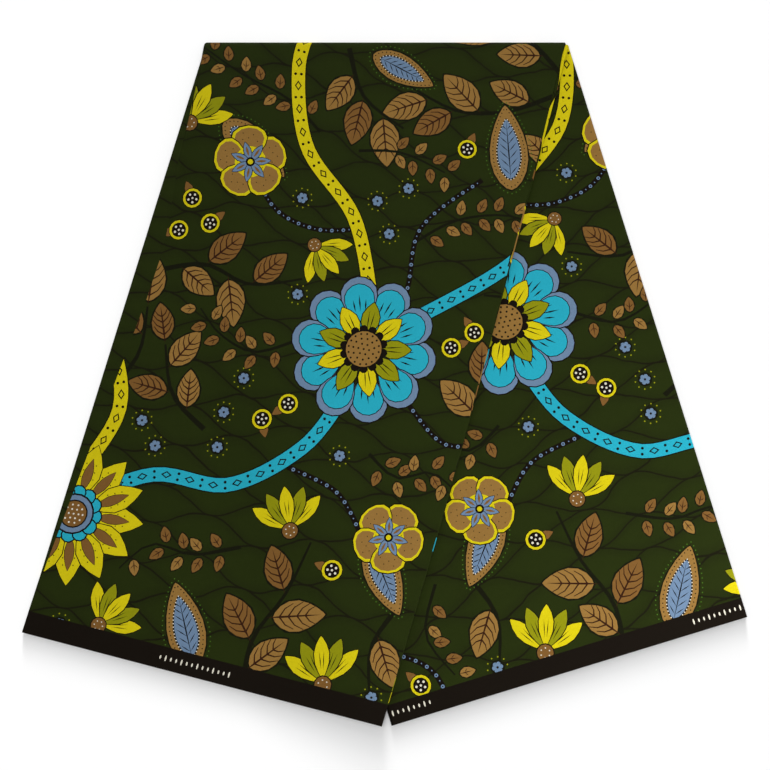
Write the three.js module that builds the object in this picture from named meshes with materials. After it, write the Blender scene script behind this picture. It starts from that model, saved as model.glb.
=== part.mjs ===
// Head wrap: one printed cotton cloth, doubled and folded in three to a flat six-ply strip, and the
// strip turned over itself once on a slanted line, so that two leaves splay from a rolled top fold.
// It lies flat. Millimetres, +Z up, origin on the surface below the middle of the outline's box.
import * as THREE from "three";

// Driving dimensions of the folded strip
const CLOTH_WIDTH = 1150; // selvedge to selvedge, which runs along the strip
const STRIP_WIDTH = 314; // one sixth of the cloth's cut length of 1884
const TURN_SLANT = 15.1; // degrees that the turn is off square to the strip
const FRONT_LENGTH = 578.5; // front end to the crest of the turn, down the strip's middle
const FRONT_END_SLANT = 1.7; // how far each corner of the front end is off square
const REAR_END_SLANT = -4.4;
const LEFT_EDGE_BOW = 9.5; // how far the front leaf's left fold bows in, a third of the way down
const END_TAPER = 5.6; // how much narrower each leaf's end is, along the edge that meets the other leaf's
const TAPER_REACH = 250; // from the end to where the strip has its full width

// The stack of six plies: an outer wall all round and four plies inside
const STACK = 5; // thickness of one leaf
const WALL = 1; // the outer ply
const GAP = 0.3; // between solids that touch, and between the two leaves
const HIDDEN_PLIES = 4;

// The right edge of the strip is two smaller folds, one above the other
const LOWER_LIP = 3; // height of the lower fold
const LIP_DEPTH = 5; // how far the folded-in ply backs the edge
const LIP_TAPER = 1.5;
const LIP_SETBACK = 0.3; // how far the upper fold lies back from the lower one
const TURN_SETBACK = 2.6; // the same at the turn, where the plies have slipped
const SETBACK_REACH = 120; // along the strip, from the turn to where they are even again

// The front leaf lies on the rear leaf and falls to the surface beside it
const FALL_START = 6; // from the rear leaf's left fold
const FALL_WIDTH = 84;

// The turn, where the strip rolls over
const TURN_REACH = 24; // from the crest to the seam between the turn and each leaf
const CREST_X = 1.7; // middle of the crest line in the part's frame
const AXIS_Y = 295.47; // axis of the roll

// How finely the cloth is divided
const LEAF_COLUMNS = 12;
const PLAIN_COLUMNS = 3;
const FRONT_ROWS = 16;
const REAR_ROWS = 6;
const ROLL_ROWS = 20;
const EDGE_FOLD_STEPS = 6;

const SLANT = THREE.MathUtils.degToRad(TURN_SLANT);
const HALF = STRIP_WIDTH / 2;
const AXIS_Z = STACK + GAP / 2;
const ROLL_RADIUS = STACK + GAP / 2;
const EDGE_RADIUS = STACK / 2; // the wide fold down the left edge
const TAPER_START = HALF - LIP_DEPTH - LIP_TAPER;

const between = (a, b, f) => a + (b - a) * f;
const smooth = (f) => {
  const k = THREE.MathUtils.clamp(f, 0, 1);
  return k * k * (3 - 2 * k);
};
const steps = (n) => Array.from({ length: n + 1 }, (_, i) => i / n);

// The strip has u across it from -HALF to HALF, v along it from the front end, and h up through the stack.
const crestAt = (u) => FRONT_LENGTH + u * Math.tan(SLANT);

// v at column u of the line that runs beside the crest, t in front of it
const alongAt = (u, t) => FRONT_LENGTH - (t - u * Math.sin(SLANT)) / Math.cos(SLANT);

// How far the front leaf has fallen at a point, by its distance from the rear leaf's left fold
function fallAt(x, y) {
  const corner = HALF / Math.cos(SLANT);
  const clear = -Math.cos(SLANT) * (x + corner) - Math.sin(SLANT) * y;
  return (STACK + GAP) * smooth((clear - FALL_START) / FALL_WIDTH);
}

// The plies' ends are even: what a ply loses to the ones inside it round the turn, it gains along the leaf.
function gainAt(across, isFront, quarter) {
  const run = (isFront ? FRONT_LENGTH : CLOTH_WIDTH - FRONT_LENGTH) * Math.cos(SLANT);
  const end = run + (isFront ? 1 : -1) * across * Math.sin(SLANT);
  return (end - (Math.PI / 2) * (GAP / 2)) / (end - quarter);
}

const taperAt = (fromEnd) => END_TAPER * Math.max(0, 1 - fromEnd / TAPER_REACH) ** 1.3;

// A point of the strip where it lies after the turn
function place(u, v, h) {
  const crest = crestAt(u);
  const front = Math.max(0, 1 - v / crest); // 0 at the crest, 1 at the front end
  const rear = Math.max(0, (v - crest) / (CLOTH_WIDTH - crest));
  const bow = LEFT_EDGE_BOW * 6.75 * front * (1 - front) ** 2; // 6.75 makes its highest value the bow
  const fromLeft = bow + taperAt(CLOTH_WIDTH - v);
  const across = HALF - (HALF - u) * (1 - fromLeft / STRIP_WIDTH) - ((HALF + u) / STRIP_WIDTH) * taperAt(v);
  const along = v + (u / HALF) * (FRONT_END_SLANT * front + REAR_END_SLANT * rear);
  const s = across * Math.cos(SLANT) - (FRONT_LENGTH - along) * Math.sin(SLANT);
  const t = across * Math.sin(SLANT) + (FRONT_LENGTH - along) * Math.cos(SLANT);
  const radius = GAP / 2 + h;
  const quarter = (Math.PI / 2) * radius;
  const turn = THREE.MathUtils.clamp(t, -quarter, quarter) / radius;
  const beyond = Math.max(0, Math.abs(t) - quarter);
  const y = radius * Math.cos(turn) - beyond * gainAt(across, t > 0, quarter);
  const z = AXIS_Z + radius * Math.sin(turn) - (t > 0 ? fallAt(s, y) : 0);
  return new THREE.Vector3(CREST_X + s, AXIS_Y + y, z);
}

// A section is a list of rungs { a, b }: a point of one face, as [u, h], and the point facing it on the other.
// A rung whose two points are one closes an edge.
const rung = (u, low, high) => ({ a: [u, low], b: [u, high] });

// The rounded edge of a band, from its tip to its full height
function edgeRungs(tip, inward, low, high) {
  const radius = (high - low) / 2;
  const middle = (high + low) / 2;
  return steps(2).map((f) => {
    const turn = (f * Math.PI) / 2;
    const u = tip + inward * radius * (1 - Math.cos(turn));
    return rung(u, middle - radius * Math.sin(turn), middle + radius * Math.sin(turn));
  });
}

const mirrored = ({ a, b }) => ({ a: b, b: a });

// The outer ply: lower fold, underside, wide left fold, top and upper fold, with the upper fold set back
function wrapSection(columns, setback) {
  const lowerLip = [...edgeRungs(HALF, -1, 0, LOWER_LIP), rung(HALF - LIP_DEPTH, 0, LOWER_LIP)];
  const left = EDGE_RADIUS - HALF;
  const underside = steps(columns).map((f) => rung(between(TAPER_START, left, f), 0, WALL));
  const leftFold = steps(EDGE_FOLD_STEPS)
    .slice(1, -1)
    .map((f) => {
      const turn = Math.PI * (1.5 - f); // from straight down, round the left, to straight up
      const out = (radius) => [left + radius * Math.cos(turn), EDGE_RADIUS + radius * Math.sin(turn)];
      return { a: out(EDGE_RADIUS), b: out(EDGE_RADIUS - WALL) };
    });
  const top = steps(columns).map((f) =>
    mirrored(rung(between(left, TAPER_START - setback, f), STACK - WALL, STACK)),
  );
  const low = LOWER_LIP + GAP;
  const upperLip = [
    rung(HALF - setback - LIP_DEPTH, low, STACK),
    ...edgeRungs(HALF - setback, -1, low, STACK).reverse(),
  ].map(mirrored);
  return [...lowerLip, ...underside, ...leftFold, ...top, ...upperLip];
}

// The plies inside, as one band with rounded edges, from the right edge to the left
function hiddenSection(columns) {
  const low = WALL + GAP;
  const high = STACK - WALL - GAP;
  const leftTip = EDGE_RADIUS - HALF - (high - low) / 2;
  const rightTip = TAPER_START - TURN_SETBACK - GAP;
  const rightEdge = edgeRungs(rightTip, -1, low, high);
  const leftEdge = edgeRungs(leftTip, 1, low, high).reverse();
  // the same columns as the outer ply's, so that its facets and these stay parallel
  const middle = steps(columns)
    .slice(1, -1)
    .map((f) => rung(between(TAPER_START, EDGE_RADIUS - HALF, f), low, high));
  return [...rightEdge, ...middle, ...leftEdge];
}

// A closed solid from rows { section, at }, where at(u) is v on that row. endPoints gives the points of an
// end between a rung's two faces, none for a plain end.
function loft(rows, endPoints = () => []) {
  const positions = [];
  const index = [];
  const add = ({ x, y, z }) => positions.push(x, y, z) / 3 - 1;
  const isTip = ({ a, b }) => Math.hypot(a[0] - b[0], a[1] - b[1]) < 1e-6;
  const put = ([u, h], at) => add(place(u, at(u), h));
  const rings = rows.map(({ section, at }) =>
    section.map((r) => {
      const a = put(r.a, at);
      return { a, b: isTip(r) ? a : put(r.b, at), u: r.a[0] };
    }),
  );
  const triangle = (p, q, r) => {
    if (p !== q && q !== r && r !== p) index.push(p, q, r);
  };
  // p and q on one row, r and s beyond them on the next; the diagonal always leans to the same side
  const quad = (p, q, r, s, leansRight) => {
    if (leansRight) {
      triangle(p, q, s);
      triangle(p, s, r);
    } else {
      triangle(p, q, r);
      triangle(q, s, r);
    }
  };
  for (let j = 0; j < rings.length - 1; j++) {
    for (let k = 0; k < rings[j].length - 1; k++) {
      const [here, next] = [rings[j], rings[j + 1]];
      const leansRight = here[k + 1].u > here[k].u;
      quad(here[k].a, here[k + 1].a, next[k].a, next[k + 1].a, leansRight);
      quad(here[k + 1].b, here[k].b, next[k + 1].b, next[k].b, !leansRight);
    }
  }
  const cap = (row, ring, facesFront) => {
    const columns = row.section.map((r, k) => {
      const { a, b } = ring[k];
      return a === b ? [a] : [a, ...endPoints(r, row.at, facesFront).map(add), b];
    });
    for (let k = 0; k < columns.length - 1; k++) {
      const [one, two] = [columns[k], columns[k + 1]];
      const pick = (column, m) => column[Math.min(m, column.length - 1)];
      const levels = Math.max(one.length, two.length);
      for (let m = 0; m < levels - 1; m++) {
        const corners = [pick(one, m), pick(one, m + 1), pick(two, m), pick(two, m + 1)];
        if (facesFront) quad(corners[0], corners[1], corners[2], corners[3], true);
        else quad(corners[1], corners[0], corners[3], corners[2], true);
      }
    }
  };
  cap(rows[0], rings[0], true);
  cap(rows.at(-1), rings.at(-1), false);
  const geometry = new THREE.BufferGeometry();
  geometry.setAttribute("position", new THREE.Float32BufferAttribute(positions, 3));
  geometry.setIndex(index);
  geometry.computeVertexNormals();
  return geometry;
}

// Rows of a leaf, from its end to the turn's seam
const frontEnd = () => 0;
const rearEnd = () => CLOTH_WIDTH;
const seam = (t) => (u) => alongAt(u, t);
const leafRows = (from, to, count) => steps(count).map((f) => (u) => between(from(u), to(u), f));

// Rows round the turn, closest together at the crest, where the inner plies turn tightest
function turnRows(reach) {
  const half = (Math.PI / 2) * ROLL_RADIUS;
  const round = steps(ROLL_ROWS).map((f) => {
    const side = 1 - 2 * f;
    return half * Math.sign(side) * Math.abs(side) ** 1.5;
  });
  return [reach, ...round, -reach].map((t) => seam(t));
}

// How far the upper right fold lies back, at distance t in front of the crest
const setbackAt = (t) =>
  between(TURN_SETBACK, LIP_SETBACK, smooth(Math.abs(t) / SETBACK_REACH));

// Distance of a row from the crest at the strip's right edge
const beyondCrest = (at) => (crestAt(HALF) - at(HALF)) * Math.cos(SLANT);

const wrapRows = (ats, columns) =>
  ats.map((at) => ({ section: wrapSection(columns, setbackAt(beyondCrest(at))), at }));

function frontWrap() {
  return loft(wrapRows(leafRows(frontEnd, seam(TURN_REACH + GAP / 2), FRONT_ROWS), LEAF_COLUMNS));
}

function turnWrap() {
  return loft(wrapRows(turnRows(TURN_REACH - GAP / 2), PLAIN_COLUMNS));
}

function rearWrap() {
  return loft(wrapRows(leafRows(seam(-TURN_REACH - GAP / 2), rearEnd, REAR_ROWS), PLAIN_COLUMNS));
}

// The hidden plies end in steps: how far each lies back from the end, from the lowest up
const PLY_SETBACKS = [0.8, 2.2, 0.4, 1.6];
const STEP_ZONE = 4; // the ends of the plies part from each other over this length
const GROOVE = 2.8; // how deep the grooves between them run
const NOSE = 0.35; // rounding of each ply's end

function plyEnds({ a: [u, low], b: [, high] }, at, facesFront) {
  const backFromEnd = (back) => (facesFront ? at(u) - STEP_ZONE + back : at(u) + STEP_ZONE - back);
  const point = (back, level) => place(u, backFromEnd(back), between(low, high, level));
  const ply = 1 / HIDDEN_PLIES;
  return PLY_SETBACKS.flatMap((back, i) => [
    ...(i > 0 ? [point(GROOVE, i * ply)] : []),
    point(back + NOSE, (i + 0.1) * ply),
    point(back, (i + 0.5) * ply),
    point(back + NOSE, (i + 0.9) * ply),
  ]);
}

function hiddenLayers() {
  const inFromFront = (u) => frontEnd(u) + STEP_ZONE;
  const inFromRear = (u) => rearEnd(u) - STEP_ZONE;
  const ats = [
    ...leafRows(inFromFront, seam(TURN_REACH), FRONT_ROWS),
    ...turnRows(TURN_REACH).slice(1, -1),
    ...leafRows(seam(-TURN_REACH), inFromRear, REAR_ROWS),
  ];
  const section = hiddenSection(LEAF_COLUMNS);
  return loft(
    ats.map((at) => ({ section, at })),
    plyEnds,
  );
}

const printedCotton = new THREE.MeshStandardMaterial({
  color: 0x3b4620,
  roughness: 0.85,
  metalness: 0,
  side: THREE.FrontSide,
});
const hiddenCotton = new THREE.MeshStandardMaterial({ color: 0x1f1c15, roughness: 0.9, metalness: 0 });

const headWrap = new THREE.Group();

function addPiece(name, geometry, material) {
  const piece = new THREE.Mesh(geometry, material);
  piece.name = name;
  headWrap.add(piece);
}

addPiece("front_wrap", frontWrap(), printedCotton);
addPiece("turn_wrap", turnWrap(), printedCotton);
addPiece("rear_wrap", rearWrap(), printedCotton);
addPiece("hidden_layers", hiddenLayers(), hiddenCotton);

export default headWrap;
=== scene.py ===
# Head wrap: one printed cotton cloth folded to a flat strip of six plies and turned over itself, lying on a
# pale surface. The cloth's print is cut into the mesh of its outer ply, so every motif has a clean edge.
import bpy
import math
import numpy as np
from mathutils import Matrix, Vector
from mathutils.geometry import delaunay_2d_cdt


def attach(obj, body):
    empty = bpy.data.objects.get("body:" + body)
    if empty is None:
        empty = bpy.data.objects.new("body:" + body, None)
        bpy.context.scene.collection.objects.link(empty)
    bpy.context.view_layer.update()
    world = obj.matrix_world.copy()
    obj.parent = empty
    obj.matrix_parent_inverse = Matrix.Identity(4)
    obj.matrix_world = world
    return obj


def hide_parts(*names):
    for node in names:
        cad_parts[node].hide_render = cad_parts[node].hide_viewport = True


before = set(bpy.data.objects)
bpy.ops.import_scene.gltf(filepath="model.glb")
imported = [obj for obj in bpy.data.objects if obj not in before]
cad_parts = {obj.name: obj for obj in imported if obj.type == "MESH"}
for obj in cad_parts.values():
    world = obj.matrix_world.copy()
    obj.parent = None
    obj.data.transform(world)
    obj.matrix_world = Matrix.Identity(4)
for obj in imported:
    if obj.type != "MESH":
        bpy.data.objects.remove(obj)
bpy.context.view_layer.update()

MM = 0.001

# The folded strip, in millimetres, as in the solids
CLOTH_WIDTH = 1150.0
STRIP_WIDTH = 314.0
TURN_SLANT = math.radians(15.1)
FRONT_LENGTH = 578.5
FRONT_END_SLANT = 1.7
REAR_END_SLANT = -4.4
LEFT_EDGE_BOW = 9.5
END_TAPER = 5.6
TAPER_REACH = 250.0
STACK = 5.0
LEAF_GAP = 0.3
FALL_START = 6.0
FALL_WIDTH = 84.0
CREST_X = 1.7
AXIS_Y = 295.47
LIP_SETBACK = 0.3
TURN_SETBACK = 2.6
SETBACK_REACH = 120.0

# The cloth itself
PLY = 0.36  # thickness of the cotton
PLY_HEIGHTS = (4.8, 3.9, 3.0, 2.1, 1.1, 0.2)  # middles of the six plies, from the top of a leaf down
TUCK = 12.0  # how far the outer ply runs back inside the right edge
FRONT_BAND = 18.0  # widths of the plain dark bands along the two selvedges
REAR_BAND = 16.5

HALF = STRIP_WIDTH / 2
AXIS_Z = STACK + LEAF_GAP / 2
COS, SIN = math.cos(TURN_SLANT), math.sin(TURN_SLANT)


def smooth(f):
    """0 up to 1 as f goes from 0 to 1, with soft ends."""
    k = np.clip(f, 0.0, 1.0)
    return k * k * (3 - 2 * k)


def gain_at(across, is_front, quarter):
    """How much longer a ply is along the leaf, so that the ends of all plies are even."""
    run = np.where(is_front, FRONT_LENGTH, CLOTH_WIDTH - FRONT_LENGTH) * COS
    end = run + np.where(is_front, 1.0, -1.0) * across * SIN
    return (end - np.pi / 2 * LEAF_GAP / 2) / (end - quarter)


def taper_at(from_end):
    """How much narrower each side of the strip is near an end."""
    return END_TAPER * np.maximum(0.0, 1 - from_end / TAPER_REACH) ** 1.3


# The strip has u across it, v along it from the front end and h up through the stack.
def place(u, v, h):
    """Where a point of the strip lies after the turn, in millimetres."""
    crest = FRONT_LENGTH + u * SIN / COS
    front = np.maximum(0.0, 1 - v / crest)
    rear = np.maximum(0.0, (v - crest) / (CLOTH_WIDTH - crest))
    bow = LEFT_EDGE_BOW * 6.75 * front * (1 - front) ** 2  # 6.75 gives it its full depth at one third
    from_left = bow + taper_at(CLOTH_WIDTH - v)
    across = HALF - (HALF - u) * (1 - from_left / STRIP_WIDTH) - (HALF + u) / STRIP_WIDTH * taper_at(v)
    lengthwise = v + (u / HALF) * (FRONT_END_SLANT * front + REAR_END_SLANT * rear)
    s = across * COS - (FRONT_LENGTH - lengthwise) * SIN
    t = across * SIN + (FRONT_LENGTH - lengthwise) * COS
    radius = LEAF_GAP / 2 + h
    quarter = np.pi / 2 * radius
    turn = np.clip(t, -quarter, quarter) / radius
    y = radius * np.cos(turn) - np.maximum(0.0, np.abs(t) - quarter) * gain_at(across, t > 0, quarter)
    z = AXIS_Z + radius * np.sin(turn)
    clear = -COS * (s + HALF / COS) - SIN * y
    fall = (STACK + LEAF_GAP) * smooth((clear - FALL_START) / FALL_WIDTH)
    return np.stack([CREST_X + s, AXIS_Y + y, z - np.where(t > 0, fall, 0.0)], axis=-1)


def beside_crest(u, t):
    """v of the line that runs beside the crest, t in front of it."""
    return FRONT_LENGTH - (t - u * SIN) / COS


def setback(v):
    """How far the upper right fold lies back from the lower one."""
    t = (FRONT_LENGTH + HALF * SIN / COS - v) * COS
    return LIP_SETBACK + (TURN_SETBACK - LIP_SETBACK) * (1 - smooth(np.abs(t) / SETBACK_REACH))


# The outer ply's way round a leaf, by q: 0 near the top's right edge, 314 at the left fold, 628 back again
WIDE_FOLD = (PLY_HEIGHTS[0] - PLY_HEIGHTS[5]) / 2
UPPER_FOLD = (PLY_HEIGHTS[0] - PLY_HEIGHTS[1]) / 2
LOWER_FOLD = (PLY_HEIGHTS[2] - PLY_HEIGHTS[5]) / 2
LEFT_CENTRE = STACK / 2 - HALF
LEFT_TURN = STRIP_WIDTH  # q at the left fold
LOWER_CENTRE = HALF - LOWER_FOLD - PLY / 2
UPPER_INSET = UPPER_FOLD + PLY / 2
LOWER_START = LEFT_TURN + np.pi / 2 * WIDE_FOLD + LOWER_CENTRE - LEFT_CENTRE
Q_LAST = LOWER_START + np.pi * LOWER_FOLD + TUCK


def upper_start(v):
    """q where the upper right fold begins."""
    return LEFT_TURN - np.pi / 2 * WIDE_FOLD - (HALF - setback(v) - UPPER_INSET - LEFT_CENTRE)


Q_FIRST = float(upper_start(0.0)) - np.pi * UPPER_FOLD - TUCK


def outer_way(q, v, out=0.0):
    """u and h of the outer ply, out beyond its middle."""
    top = (PLY_HEIGHTS[0] + PLY_HEIGHTS[5]) / 2
    turn = np.clip((q - LEFT_TURN) / WIDE_FOLD, -np.pi / 2, np.pi / 2)
    u = LEFT_CENTRE - (WIDE_FOLD + out) * np.cos(turn)
    h = top - (WIDE_FOLD + out) * np.sin(turn)
    beyond = np.abs(q - LEFT_TURN) - np.pi / 2 * WIDE_FOLD
    u = u + np.maximum(0.0, beyond)
    upper = upper_start(v) - q
    turn = np.clip(upper / UPPER_FOLD, 0.0, np.pi)
    centre = HALF - setback(v) - UPPER_INSET
    across = centre + (UPPER_FOLD + out) * np.sin(turn) - np.maximum(0.0, upper - np.pi * UPPER_FOLD)
    u = np.where(upper > 0, across, u)
    h = np.where(upper > 0, PLY_HEIGHTS[0] - UPPER_FOLD + (UPPER_FOLD + out) * np.cos(turn), h)
    lower = q - LOWER_START
    turn = np.clip(lower / LOWER_FOLD, 0.0, np.pi)
    across = LOWER_CENTRE + (LOWER_FOLD + out) * np.sin(turn) - np.maximum(0.0, lower - np.pi * LOWER_FOLD)
    u = np.where(lower > 0, across, u)
    h = np.where(lower > 0, PLY_HEIGHTS[5] + LOWER_FOLD - (LOWER_FOLD + out) * np.cos(turn), h)
    return u, h


# Soft rises and troughs that handling has left: each the leaf it is on, its q and v, the length and width it
# fades over, its direction and its height
CREASES = (
    ("front", 120.0, 470.0, 150.0, 9.0, 0.30, 0.45),
    ("front", 210.0, 250.0, 190.0, 11.0, -0.55, 0.40),
    ("front", 60.0, 160.0, 130.0, 8.0, 0.95, 0.35),
    ("front", 262.0, 90.0, 120.0, 9.0, 0.20, -0.35),
    ("front", 30.0, 330.0, 140.0, 10.0, 1.35, 0.35),
    ("rear", 560.0, 820.0, 150.0, 10.0, 0.60, 0.40),
    ("rear", 480.0, 1010.0, 170.0, 11.0, -0.35, 0.45),
    ("rear", 600.0, 960.0, 120.0, 8.0, 1.10, -0.30),
)


WAVE_HEIGHT = 0.45
END_REACH = 30.0  # how far from a cut end the cloth's back is raised with its face
# How far the rises take to fade in beside the right edge, the folds, the turn and the front leaf
EDGE_FADE, FOLD_FADE, TURN_FADE, LEAF_FADE = 16.0, 14.0, 40.0, 22.0


def lift(q, v):
    """How far handling has raised the outer ply, in millimetres."""
    on_top = smooth((q - 2.0) / EDGE_FADE) * smooth((LEFT_TURN - 4.0 - q) / FOLD_FADE)
    beneath = smooth((q - LEFT_TURN - 4.0) / FOLD_FADE) * smooth((LOWER_START - q) / EDGE_FADE)
    u, _ = outer_way(q, v)
    t = u * SIN + (FRONT_LENGTH - v) * COS
    in_front, behind = smooth((t - 10.0) / TURN_FADE), smooth((-t - 10.0) / TURN_FADE)
    # the rear leaf is free of the front leaf only to the right of the front leaf's right fold
    reach = (HALF - u) * np.cos(2 * TURN_SLANT) - (-t / COS) * np.sin(2 * TURN_SLANT)
    free = smooth((-reach - 2.0) / LEAF_FADE)
    # a low wave, about 260 mm across the strip and 400 mm along it, whose crests wander
    wave = 0.5 + 0.5 * np.sin(q / 41.0 + 1.3 * np.sin(v / 97.0) + 0.6)
    wave = wave * (0.5 + 0.5 * np.sin(v / 63.0 + 0.9 * np.sin(q / 57.0)))
    front_side, rear_side = on_top * in_front, beneath * behind * free
    height = WAVE_HEIGHT * wave * (front_side + rear_side)
    for leaf, cq, cv, long, wide, direction, size in CREASES:
        dq, dv = q - cq, v - cv
        run = dq * np.cos(direction) + dv * np.sin(direction)
        aside = -dq * np.sin(direction) + dv * np.cos(direction) + 5.0 * np.sin(run / 46.0)
        ridge = size * np.exp(-((run / long) ** 2) * 3.0 - (aside / wide) ** 2)
        height = height + ridge * (front_side if leaf == "front" else rear_side)
    return np.maximum(0.0, height)


def outer_point(q, v, out):
    """A point of the outer ply's printed face, or of its back, which is raised only beside the cut ends."""
    u, h = outer_way(q, v, out)
    point = place(u, v, h)
    beside_end = 1 - smooth(np.minimum(v, CLOTH_WIDTH - v) / END_REACH)
    point[..., 2] += lift(q, v) * np.where(out > 0, 1.0, beside_end)
    return point


# The print: shapes in millimetres, painted in order, each (ink, outline)
def turned(points, angle, at=(0.0, 0.0)):
    """Points turned about the origin and then moved."""
    c, s = math.cos(angle), math.sin(angle)
    return [(at[0] + x * c - y * s, at[1] + x * s + y * c) for x, y in points]


def shapes_at(shapes, angle, at=(0.0, 0.0)):
    return [(ink, turned(outline, angle, at)) for ink, outline in shapes]


def around(count, offset=0.0):
    """Directions at even steps round a circle."""
    return [2 * math.pi * (i + offset) / count for i in range(count)]


def polar(distance, turn, at=(0.0, 0.0)):
    """The point at a distance from a place, in a direction."""
    return at[0] + distance * math.cos(turn), at[1] + distance * math.sin(turn)


def disc(radius, sides, at=(0.0, 0.0)):
    return [polar(radius, turn, at) for turn in around(sides)]


def rectangle(left, low, right, high):
    return [(left, low), (right, low), (right, high), (left, high)]


def dots(ink, radius, sides, ring, turns):
    """Dots of one size in a ring."""
    return [(ink, disc(radius, sides, polar(ring, turn))) for turn in turns]


def leaning(ink, shape, leans, at=(0.0, 0.0)):
    """One thin shape drawn several times, each with its own lean."""
    return [(ink, turned(shape, lean, at)) for lean in leans]


def petal(start, length, width, fullest=0.5, blunt=1.0, grow=0.0, sides=7):
    """A petal along x. fullest is where it is widest; blunt 0.5 rounds its ends and 1 points them."""
    lean = math.log(0.5) / math.log(fullest)
    upper = []
    for i in range(sides + 1):
        f = (1 - math.cos(math.pi * i / sides)) / 2
        half = (width / 2 + grow) * max(0.0, math.sin(math.pi * f**lean)) ** blunt
        upper.append((start - grow + (length + 2 * grow) * f, half))
    return upper + [(x, -y) for x, y in upper[-2:0:-1]]


def rimmed(ink, grow, *form, rim="ink", sides=7, rim_sides=None):
    """A petal on a slightly larger dark one, which shows as a thin rim. form is petal's start to blunt."""
    return [(rim, petal(*form, grow, rim_sides or sides)), (ink, petal(*form, sides=sides))]


def curve_point(a, b, c, d, t):
    """The point that lies t of the way from b to c on the smooth curve through them, with a and d beyond."""
    return tuple(
        0.5 * (2 * q + (r - p) * t + (2 * p - 5 * q + 4 * r - s) * t**2 + (3 * q - p - 3 * r + s) * t**3)
        for p, q, r, s in zip(a, b, c, d)
    )


def along(points, step):
    """A smooth line through given points, as (x, y, direction) about every step."""
    guide = [points[0], *points, points[-1]]
    fine = []
    for near in zip(guide, guide[1:], guide[2:], guide[3:]):
        fine += [curve_point(*near, i / 24) for i in range(24)]
    fine.append(points[-1])
    run = [0.0]
    for a, b in zip(fine, fine[1:]):
        run.append(run[-1] + math.dist(a, b))
    count = max(2, round(run[-1] / step))
    line, j = [], 0
    for i in range(count + 1):
        want = run[-1] * i / count
        while j < len(run) - 2 and run[j + 1] < want:
            j += 1
        f = (want - run[j]) / max(run[j + 1] - run[j], 1e-9)
        a, b = fine[j], fine[j + 1]
        direction = math.atan2(b[1] - a[1], b[0] - a[0])
        line.append((a[0] + (b[0] - a[0]) * f, a[1] + (b[1] - a[1]) * f, direction))
    return line


def stroke(line, first, last=None):
    """The outline of a drawn line whose width runs from first to last."""
    last = first if last is None else last
    left, right = [], []
    for i, (x, y, d) in enumerate(line):
        half = (first + (last - first) * i / (len(line) - 1)) / 2
        left.append((x - math.sin(d) * half, y + math.cos(d) * half))
        right.append((x + math.sin(d) * half, y - math.cos(d) * half))
    return left + right[::-1]


def great_bloom(r):
    """Round turquoise petals rimmed with slate, pointed yellow ones and a dotted disc."""
    out = []
    turns = around(10)
    for turn in turns[::2] + turns[1::2]:
        whole = rimmed("slate", 0.016 * r, 0.30 * r, 0.70 * r, 0.50 * r, 0.66, 0.5, sides=9)
        whole += rimmed("turquoise", 0.011 * r, 0.30 * r, 0.60 * r, 0.41 * r, 0.66, 0.5, sides=9)
        for lean in (-0.13, 0.0, 0.13):
            dash = petal(0.52 * r, (0.24 - abs(lean) * 0.5) * r, 0.026 * r, 0.3, 0.9, sides=2)
            whole.append(("ink", turned(dash, lean)))
        out += shapes_at(whole, turn)
    dash = petal(0.24 * r, 0.30 * r, 0.016 * r, 0.4, 0.9, sides=2)
    for i, turn in enumerate(around(9, 0.25)):
        ink = "yellow" if i % 2 else "olive"
        whole = rimmed(ink, 0.014 * r, 0.18 * r, 0.47 * r, 0.25 * r, 0.5, 0.85)
        out += shapes_at(whole + leaning("ink", dash, (-0.07, 0.07)), turn)
    out += dots("ink", 0.062 * r, 8, 0.27 * r, around(14))
    out += [("ink", disc(0.265 * r, 20)), ("light brown", disc(0.245 * r, 20))]
    for count, ring in ((1, 0.0), (6, 0.075), (11, 0.145), (16, 0.21)):
        out += dots("ink", 0.016 * r, 5, ring * r, around(count, 0.5 * (count % 2)))
    return out


def sun_bloom(r):
    """Pointed yellow petals with brown hearts round a scalloped turquoise ring."""
    out = []
    turns = around(13)
    for turn in turns[::2] + turns[1::2]:
        whole = rimmed("yellow", 0.014 * r, 0.26 * r, 0.74 * r, 0.36 * r, 0.48, 0.95)
        whole += rimmed("brown", 0.008 * r, 0.34 * r, 0.46 * r, 0.135 * r, 0.45, 0.9)
        for side in (-1, 1):
            for f in (0.52, 0.62, 0.72):
                whole.append(("ink", disc(0.011 * r, 4, (f * r, side * 0.115 * r * (1.35 - f)))))
        out += shapes_at(whole, turn)
    for turn in around(12):
        for ink, size in (("ink", 0.115), ("turquoise", 0.095)):
            out += dots(ink, size * r, 10, 0.30 * r, [turn])
    for ink, size in (("ink", 0.29), ("slate", 0.265), ("ink", 0.20), ("brown", 0.18)):
        out.append((ink, disc(size * r, 18)))
    for count, ring in ((1, 0.0), (6, 0.07), (10, 0.13)):
        out += dots("cream", 0.015 * r, 5, ring * r, around(count))
    return out


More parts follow.
